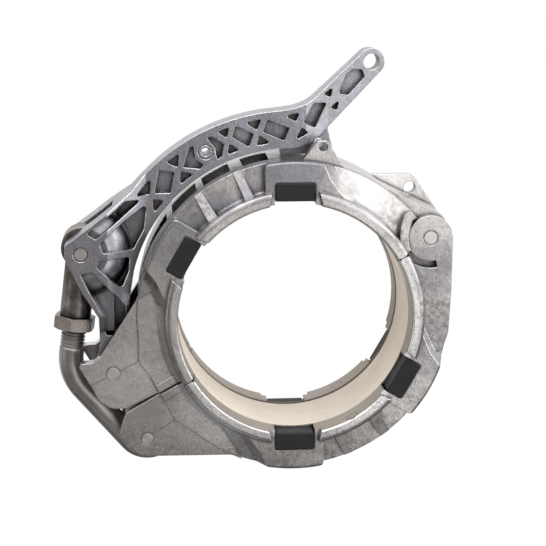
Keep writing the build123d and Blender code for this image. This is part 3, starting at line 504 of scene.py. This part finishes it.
def cast_aluminium(name, shift, marks=(), staining=1.0, pitting=1.0, painted_highlights=(), oxide=(), lip_painted_highlight=0.5):
    """Bare die casting: satin skin with stains and pits, edges partly burnished and partly painted bright,
    painted highlights on the lip faces and patches, painted shade in creases, corners and pockets.
    """
    tones = bpy.context.scene.coupling_finish
    f = Finish(name, (shift, 0.0, -shift))
    clouds, mottle, grain = f.noise(*CLOUDS), f.noise(*MOTTLE), f.noise(*GRAIN)
    streaks = f.noise(*STREAKS, f.stretched(*STREAKS_ALONG))
    normal = f.soft_normal(bpy.context.scene.coupling_sizes.edge_round)
    close = f.openness(CORNER_REACH)
    # Edge mask: partly wear, partly painted highlight
    worn_highlight = f.math("MULTIPLY", f.edges(normal, *WORN_HIGHLIGHT_EDGE), f.span(close, *WORN_HIGHLIGHT_OPEN))
    from_axis = f.from_line()
    # Lip bores: painted shade
    bore = f.span(from_axis, *BORE_SHADE_BAND)
    # Painted highlight on the lip faces and the highlight patches
    painted_highlight = f.math("MAXIMUM", patches(f, painted_highlights), f.span(from_axis, *LIP_FACE_HIGHLIGHT, 0.0, lip_painted_highlight))
    stain = f.math("MULTIPLY", f.span(clouds, *STAIN_CLOUDS), f.span(mottle, *STAIN_MOTTLE))
    stain = f.math("MULTIPLY", stain, f.span(painted_highlight, 0.0, HIGHLIGHT_FULL, staining, HIGHLIGHT_STAINS * staining))
    specks = f.math("MULTIPLY", f.span(grain, *SPECK_GRAIN), f.span(mottle, *SPECK_MOTTLE))
    pits = f.math("MULTIPLY", f.span(f.noise(*PITS), *PIT_CORE),
                  f.span(clouds, *PIT_CLOUDS, PIT_LEAST * pitting, PIT_MOST * pitting))
    base = f.layered(
        tones.cast,
        (patches(f, oxide), tones.cast_cool),
        (painted_highlight, tones.cast_bright_and_highlight),
        (stain, tones.cast_stain),
        (f.span(streaks, *STAIN_STREAKS, 0.0, STREAK_SHARE * staining), tones.cast_stain),
        (f.math("MULTIPLY", specks, SPECK_SHARE), tones.cast_bright_and_highlight),
        (pits, tones.cast_soil_and_shade),
        # Painted shade in pockets, corners and creases
        (f.span(f.openness(POCKET_REACH), *POCKET_SHADE), tones.cast_soil_and_shade),
        (f.span(close, *CORNER_SHADE), tones.cast_soil_and_shade),
        (f.math("MULTIPLY", f.edges(normal, *CREASE_SHADE), CREASE_SHADE_SHARE), tones.cast_soil_and_shade),
        (worn_highlight, tones.cast_bright_and_highlight),
        (f.math("MULTIPLY", bore, BORE_SHADE_SHARE), tones.bore_shade),
    )
    rough = f.weighed((f.span(clouds, *SKIN_ROUGH), 1.0), (f.span(mottle, *SKIN_ROUGH_FINE), 1.0),
                      (worn_highlight, WORN_SMOOTH), (bore, BORE_ROUGH))
    height = f.weighed((grain, RELIEF_GRAIN), (mottle, RELIEF_MOTTLE), (clouds, RELIEF_CLOUDS),
                       (f.noise(*WAVES), RELIEF_WAVES))
    if marks:
        rims = ejector_marks(f, marks)
        height = f.math("SUBTRACT", height, f.math("MULTIPLY", rims, MARK_DEPTH))
        base = f.blend(f.math("MULTIPLY", rims, MARK_SHARE), base, tones.cast_soil_and_shade)
    return f.surface({"Base Color": base, "Metallic": 1.0, "Roughness": rough,
                      "Normal": f.bump(height, *CAST_RELIEF, normal)})


def blasted_steel(name, first, second, roughness):
    """Blasted steel: even fine grain with paler clouds, light wear on its edges, painted shade in corners.
    """
    f = Finish(name)
    clouds, pits = f.noise(*STEEL_CLOUDS), f.noise(*STEEL_PITS)
    normal = f.soft_normal(bpy.context.scene.coupling_sizes.edge_round * STEEL_ROUND)
    base = f.layered(
        first,
        (f.span(clouds, *STEEL_PALER), second),
        (f.math("MULTIPLY", f.edges(normal, *FINE_EDGE), STEEL_EDGE_SHARE), second),
        # Painted shade in corners
        (f.span(f.openness(STEEL_REACH), *STEEL_CORNER_SHADE), scaled(first, STEEL_SHADE_TONE)),
        (f.span(pits, *STEEL_PIT_CORE), first),
    )
    height = f.weighed((f.noise(*STEEL_GRAIN), STEEL_RELIEF_GRAIN), (pits, 1.0))
    rough = f.span(clouds, *STEEL_ROUGH_CLOUDS, roughness, roughness + STEEL_ROUGH_MORE)
    return f.surface({"Base Color": base, "Metallic": 1.0, "Roughness": rough,
                      "Normal": f.bump(height, *STEEL_RELIEF, normal)})


def turned_pin(node, tone):
    """Pin with fine turning rings on its ends and a slightly clouded polish."""
    f = Finish("turned_" + node)
    centre = middle(node)
    rings = f.math("SINE", f.math("MULTIPLY", f.from_line(centre.x, centre.z), 2 * pi / TURNING))
    clouds = f.noise(*PIN_CLOUDS)
    steel = bpy.context.scene.coupling_finish.pin
    base = f.blend(f.span(clouds, *FINE_CLOUDS), scaled(steel, tone), scaled(steel, PIN_DULL * tone))
    height = f.weighed((rings, PIN_RELIEF_RINGS), (clouds, 1.0))
    return f.surface({"Base Color": base, "Metallic": 1.0, "Roughness": f.span(clouds, *PIN_ROUGH),
                      "Normal": f.bump(height, *PIN_RELIEF, f.soft_normal(FINE_ROUND))})


def moulded_pad():
    """Black moulded pad: fine eroded texture, slightly greyed on its edges."""
    f = Finish("pad_moulded")
    clouds = f.noise(*PAD_CLOUDS)
    normal = f.soft_normal(FINE_ROUND)
    black = bpy.context.scene.coupling_finish.pad
    base = f.layered(
        black,
        (f.span(clouds, *FINE_CLOUDS), scaled(black, PAD_GREY)),
        (f.math("MULTIPLY", f.edges(normal, *FINE_EDGE), PAD_EDGE_SHARE), scaled(black, PAD_EDGE_GREY)),
    )
    return f.surface({"Base Color": base, "Roughness": f.span(clouds, *PAD_ROUGH),
                      "Specular IOR Level": PAD_SPECULAR,
                      "Normal": f.bump(f.noise(*PAD_GRAIN), *PAD_RELIEF, normal)})


def seal_elastomer():
    """Cream elastomer: satin, with dusty clouds, faint rings and a fine moulding grain."""
    f = Finish("seal_elastomer")
    clouds = f.noise(*SEAL_CLOUDS)
    rings = f.noise(*SEAL_RINGS, f.stretched(*SEAL_RINGS_ALONG))
    cream = bpy.context.scene.coupling_finish.seal
    base = f.layered(
        cream,
        (f.span(clouds, *SEAL_DUST_CLOUDS), scaled(cream, SEAL_DUST)),
        (f.span(rings, *SEAL_RING_MASK), scaled(cream, SEAL_RING_TONE)),
    )
    height = f.weighed((f.noise(*SEAL_GRAIN), SEAL_RELIEF_GRAIN), (rings, 1.0))
    return f.surface({"Base Color": base, "Roughness": f.span(clouds, *SEAL_ROUGH),
                      "Specular IOR Level": SEAL_SPECULAR, "Normal": f.bump(height, *SEAL_RELIEF)})


def dress(node, material):
    """Gives a piece of the frame its finish."""
    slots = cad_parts[node].data.materials
    slots.clear()
    slots.append(material)


# Mesh building

def mesh_piece(name, vertices, faces, material):
    """New object from its points and faces, shaded smooth."""
    mesh = bpy.data.meshes.new(name)
    mesh.from_pydata(vertices, [], faces)
    mesh.validate()
    shape = bmesh.new()
    shape.from_mesh(mesh)
    bmesh.ops.recalc_face_normals(shape, faces=shape.faces)
    shape.to_mesh(mesh)
    shape.free()
    mesh.materials.append(material)
    for face in mesh.polygons:
        face.use_smooth = True
    piece = bpy.data.objects.new(name, mesh)
    bpy.context.scene.collection.objects.link(piece)
    return piece


def ring_faces(rings, count, closed_rings):
    """Quads between successive rings of points."""
    faces = []
    last = rings if closed_rings else rings - 1
    for ring in range(last):
        after = (ring + 1) % rings
        for n in range(count):
            step = (n + 1) % count
            faces.append((ring * count + n, ring * count + step, after * count + step, after * count + n))
    return faces


def seal_profile(sizes):
    """Closed section of the seal: radius and depth, ridges inside, edges turned outward."""
    steps = sizes.seal_ridges * RIDGE_STEPS
    points = []
    for n in range(steps + 1):
        across = 2 * (n / steps) - 1
        wave = 0.5 - 0.5 * cos(2 * pi * n / RIDGE_STEPS)
        flare = sizes.seal_flare * max(0.0, (abs(across) - FLARE_START) / (1 - FLARE_START)) ** 2
        points.append((sizes.seal_bore + sizes.seal_ridge * (1 - wave) + flare, SEAL_HALF * across))
    for side in (1, -1):
        for n in range(CORNER_STEPS + 1):
            turn = n / CORNER_STEPS * pi / 2
            out, along = (sin(turn), cos(turn)) if side == 1 else (cos(turn), sin(turn))
            points.append((SEAL_OUTER - SEAL_CORNER + SEAL_CORNER * out,
                           side * (SEAL_HALF - SEAL_CORNER + SEAL_CORNER * along)))
    return points


def lathe(name, profile, material, segments):
    """Ring turned about the pipe from a closed section."""
    vertices = []
    for n in range(segments):
        turn = 2 * pi * n / segments
        vertices += [(r * cos(turn), y, r * sin(turn)) for r, y in profile]
    return mesh_piece(name, vertices, ring_faces(segments, len(profile), True), material)


def from_point(centre, distance, heading):
    """Point in the front plane at this distance and heading from another."""
    return (centre[0] + distance * cos(heading), centre[1] + distance * sin(heading))


def straight(start, heading, skipped=0.0):
    """Run of the rod's middle line: from distance to point and heading."""
    return lambda s: (from_point(start, skipped + s, heading), heading)


def arc(centre, radius, heading):
    """Turn of the rod's middle line to the left, beginning in this heading."""
    return lambda s: (from_point(centre, radius, heading - pi / 2 + s / radius), heading + s / radius)


def rod_line(sizes):
    """The rod's middle line as pieces: (length, function from distance to point and heading)."""
    pin, fork = middle("link_pin"), middle("lower_pin")
    top, low = (pin.x, pin.z), (fork.x, fork.z)
    down = -pi / 2 - sizes.rod_tilt
    knee = from_point(top, sizes.rod_knee, down)
    apart = hypot(low[0] - knee[0], low[1] - knee[1])
    heading = atan2(low[1] - knee[1], low[0] - knee[0]) - asin(sizes.rod_eye / apart)
    turn = heading - down
    back = sizes.rod_bend * tan(turn / 2)
    centre = from_point(from_point(top, sizes.rod_knee - back, down), sizes.rod_bend, down + pi / 2)
    bend_end = from_point(knee, back, heading)
    touch = from_point(low, sizes.rod_eye, heading - pi / 2)
    run = hypot(touch[0] - bend_end[0], touch[1] - bend_end[1])
    return [
        (sizes.rod_knee - back - sizes.rod_start, straight(top, down, sizes.rod_start)),
        (sizes.rod_bend * turn, arc(centre, sizes.rod_bend, down)),
        (run, straight(bend_end, heading)),
        (sizes.rod_eye * sizes.rod_wrap, arc(low, sizes.rod_eye, heading)),
    ]


def rod_steps(sizes):
    """Places along the rod, close together where the thread is: (distance, point, heading)."""
    threaded = sizes.thread_end - sizes.rod_start
    line = rod_line(sizes)
    steps, gone = [], 0.0
    for index, (run, place) in enumerate(line):
        if index == 0:
            count = int(threaded / (sizes.thread_pitch / THREAD_STEPS))
            marks = [threaded * n / count for n in range(count)]
            marks += [threaded + (run - threaded) * n / PLAIN_STEPS for n in range(PLAIN_STEPS)]
        else:
            count = max(FEWEST_STEPS, int(run / ROD_STEP))
            marks = [run * n / count for n in range(count)]
        steps += [(gone + mark, *place(mark)) for mark in marks]
        gone += run
    last_run, last_place = line[-1]
    return steps + [(gone, *last_place(last_run))]


def threaded_rod(name, material, sizes):
    """Bent rod with its thread at the top and its eye at the bottom, one closed skin."""
    threaded = sizes.thread_end - sizes.rod_start
    steps = rod_steps(sizes)
    total = steps[-1][0]
    vertices = []
    for gone, (x, z), heading in steps:
        fade = min(1.0, max(0.0, (threaded - gone) / (THREAD_FADE * sizes.thread_pitch)))
        trim = max(0.0, ROD_CHAMFER - min(gone, total - gone))
        centre = Vector((x, 0.0, z))
        side = Vector((-sin(heading), 0.0, cos(heading)))
        for n in range(ROD_SIDES):
            turn = 2 * pi * n / ROD_SIDES
            phase = (gone / sizes.thread_pitch - n / ROD_SIDES) % 1.0
            groove = sizes.thread_depth * fade * min(1.0, THREAD_ROOT * abs(2 * phase - 1))
            radius = ROD_RADIUS - groove - trim
            depth = Vector((0.0, radius * sin(turn), 0.0))
            vertices.append(centre + side * (radius * cos(turn)) + depth)
    faces = ring_faces(len(steps), ROD_SIDES, False)
    first = tuple(range(ROD_SIDES))
    last = tuple(range((len(steps) - 1) * ROD_SIDES, len(steps) * ROD_SIDES))
    return mesh_piece(name, vertices, faces + [first[::-1], last], material)


def aim(item, place, heading):
    """Puts a lamp or camera at a place, looking along a heading."""
    item.location = place
    item.rotation_mode = "QUATERNION"
    item.rotation_quaternion = heading.to_track_quat("-Z", "Y")
    bpy.context.scene.collection.objects.link(item)


# Operators, one for each group of pieces

class COUPLING_OT_castings(Operator):
    """Finish the two housing halves and the lever as bare die-cast aluminium"""
    bl_idname = "coupling.castings"
    bl_label = "Castings"

    def execute(self, context):
        for nodes, looks in CASTINGS:
            material = cast_aluminium(**looks)
            for node in nodes:
                dress(node, material)
        return {"FINISHED"}


class COUPLING_OT_tie_rod(Operator):
    """Build the threaded, bent tie rod and finish the barrel, the nut and the bush"""
    bl_idname = "coupling.tie_rod"
    bl_label = "Tie rod"

    def execute(self, context):
        tones = context.scene.coupling_finish
        steel = blasted_steel("steel_blasted", tones.steel, tones.steel_pale, ROD_ROUGH)
        # The barrel's darker tone is painted shade
        barrel = blasted_steel("steel_barrel_shaded", tones.barrel, tones.steel, BARREL_ROUGH)
        nut = blasted_steel("steel_nut", tones.nut, tones.steel, NUT_ROUGH)
        rod = threaded_rod("tie_rod_threaded", steel, context.scene.coupling_sizes)
        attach(rod, "link")
        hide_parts("link_rod")
        dress("link_barrel", barrel)
        dress("jam_nut", nut)
        dress("eye_bush", nut)
        return {"FINISHED"}


class COUPLING_OT_pins(Operator):
    """Finish the pins with their turned ends"""
    bl_idname = "coupling.pins"
    bl_label = "Pins"

    def execute(self, context):
        for node, tone in PIN_TONES:
            dress(node, turned_pin(node, tone))
        return {"FINISHED"}


class COUPLING_OT_pads(Operator):
    """Finish the eight guide pads"""
    bl_idname = "coupling.pads"
    bl_label = "Guide pads"

    def execute(self, context):
        finish = moulded_pad()
        for node in PADS:
            dress(node, finish)
        return {"FINISHED"}


class COUPLING_OT_seal(Operator):
    """Build the cream seal with its fine ridges"""
    bl_idname = "coupling.seal"
    bl_label = "Seal"

    def execute(self, context):
        profile = seal_profile(context.scene.coupling_sizes)
        seal = lathe("seal_ridged", profile, seal_elastomer(), SEAL_SEGMENTS)
        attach(seal, "upper")
        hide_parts("gasket")
        return {"FINISHED"}


class COUPLING_OT_stage(Operator):
    """Make the floor, the lamps, the surroundings and the camera"""
    bl_idname = "coupling.stage"
    bl_label = "Stage"

    def execute(self, context):
        self.floor(context)
        self.surroundings(context)
        self.lamps()
        self.camera(context)
        return {"FINISHED"}

    def floor(self, context):
        """Pale floor with its shadow: white to the camera, with a painted shadow under the part where metal
        reflects it.
        """
        tone = context.scene.coupling_finish.floor
        drop = context.scene.coupling_sizes.floor_drop
        f = Finish("floor_pale")
        rays = f.add("ShaderNodeLightPath").outputs
        camera = rays["Is Camera Ray"]
        seen = f.math("MAXIMUM", camera, rays["Is Glossy Ray"])
        seen = f.math("MAXIMUM", seen, rays["Is Transmission Ray"])
        clouds = f.span(f.noise(*FLOOR_CLOUDS), *FLOOR_CLOUD_MASK)
        tint = f.blend(clouds, tone, scaled(tone, FLOOR_CLOUD_TONE))
        diffuse = f.add("ShaderNodeBsdfDiffuse", {"Color": tint}).outputs[0]
        depth = f.add("ShaderNodeSeparateXYZ", {0: f.place}).outputs["Y"]
        # Painted shadow under the part, seen only in reflections
        under = f.math("MULTIPLY", f.span(depth, *FLOOR_SHADOW_UNDER), f.span(depth, *FLOOR_FAR))
        band = f.math("MULTIPLY", f.span(depth, *BAND_FRONT), f.span(depth, *BAND_BACK))
        strength = f.math("MAXIMUM", camera, f.math("MAXIMUM", under, band))
        glow = f.add("ShaderNodeEmission", {"Color": opaque(WHITE), "Strength": strength}).outputs[0]
        share = f.math("MULTIPLY", seen, FLOOR_GLOW)
        mixed = f.add("ShaderNodeMixShader", {0: share, 1: diffuse, 2: glow}).outputs[0]
        f.add("ShaderNodeOutputMaterial", {0: mixed})
        corners = [(-FLOOR_HALF, FLOOR_FRONT, drop), (FLOOR_HALF, FLOOR_FRONT, drop),
                   (FLOOR_HALF, FLOOR_HALF, drop), (-FLOOR_HALF, FLOOR_HALF, drop)]
        floor = mesh_piece("floor", corners, [(0, 1, 2, 3)], f.material)

    def surroundings(self, context):
        """White behind and above, a darker room in front; the camera sees plain white."""
        world = bpy.data.worlds.new("studio")
        world.use_nodes = True
        context.scene.world = world
        w = Nodes(world.node_tree, "Generated")
        room = WHITE
        for direction, low, high, tone in ROOM:
            toward = w.number("DOT_PRODUCT", w.place, Vector(direction).normalized())
            room = w.blend(w.span(toward, low, high, interpolation_type="SMOOTHSTEP"), room, tone)
        camera = w.add("ShaderNodeLightPath").outputs["Is Camera Ray"]
        light = w.add("ShaderNodeBackground", {0: room, 1: 1.0}).outputs[0]
        plain = w.add("ShaderNodeBackground", {0: opaque(WHITE), 1: 1.0}).outputs[0]
        pick = w.add("ShaderNodeMixShader", {0: camera, 1: light, 2: plain}).outputs[0]
        w.add("ShaderNodeOutputWorld", {0: pick})

    def lamps(self):
        """Softboxes above, on the right and on the left."""
        for name, place, width, height, watts, tint in LAMPS:
            lamp = bpy.data.lights.new(name, "AREA")
            lamp.shape = "RECTANGLE"
            lamp.size, lamp.size_y = width, height
            lamp.energy = watts
            lamp.color = tint
            aim(bpy.data.objects.new(name, lamp), place, Vector(LAMP_AIM) - Vector(place))

    def camera(self, context):
        """The photograph's view: 12 degrees down, from a little left of the middle."""
        data = bpy.data.cameras.new("camera")
        data.sensor_width = CAMERA_SENSOR
        data.lens = CAMERA_LENS
        data.clip_start, data.clip_end = CAMERA_NEAR, CAMERA_FAR
        camera = bpy.data.objects.new("camera", data)
        aim(camera, CAMERA_PLACE, Vector(CAMERA_HEADING))
        context.scene.camera = camera
        context.scene.view_settings.view_transform = "Standard"


class COUPLING_PT_panel(Panel):
    """Sizes, finishes and the steps that build the coupling's looks"""
    bl_label = "Coupling"
    bl_idname = "COUPLING_PT_panel"
    bl_space_type = "VIEW_3D"
    bl_region_type = "UI"
    bl_category = "Coupling"

    def draw(self, context):
        layout = self.layout
        for step in STEPS:
            layout.operator(step.bl_idname)
        for group in (context.scene.coupling_sizes, context.scene.coupling_finish):
            box = layout.box()
            for key in group.bl_rna.properties.keys():
                if key not in ("rna_type", "name"):
                    box.prop(group, key)


STEPS = (COUPLING_OT_castings, COUPLING_OT_tie_rod, COUPLING_OT_pins, COUPLING_OT_pads, COUPLING_OT_seal,
         COUPLING_OT_stage)
CLASSES = (CouplingSizes, CouplingFinish, *STEPS, COUPLING_PT_panel)


def register():
    for item in CLASSES:
        bpy.utils.register_class(item)
    bpy.types.Scene.coupling_sizes = PointerProperty(type=CouplingSizes)
    bpy.types.Scene.coupling_finish = PointerProperty(type=CouplingFinish)


def unregister():
    del bpy.types.Scene.coupling_finish
    del bpy.types.Scene.coupling_sizes
    for item in reversed(CLASSES):
        bpy.utils.unregister_class(item)


def main():
    register()
    bpy.ops.coupling.castings()
    bpy.ops.coupling.tie_rod()
    bpy.ops.coupling.pins()
    bpy.ops.coupling.pads()
    bpy.ops.coupling.seal()
    bpy.ops.coupling.stage()


if __name__ == "__main__":
    main()
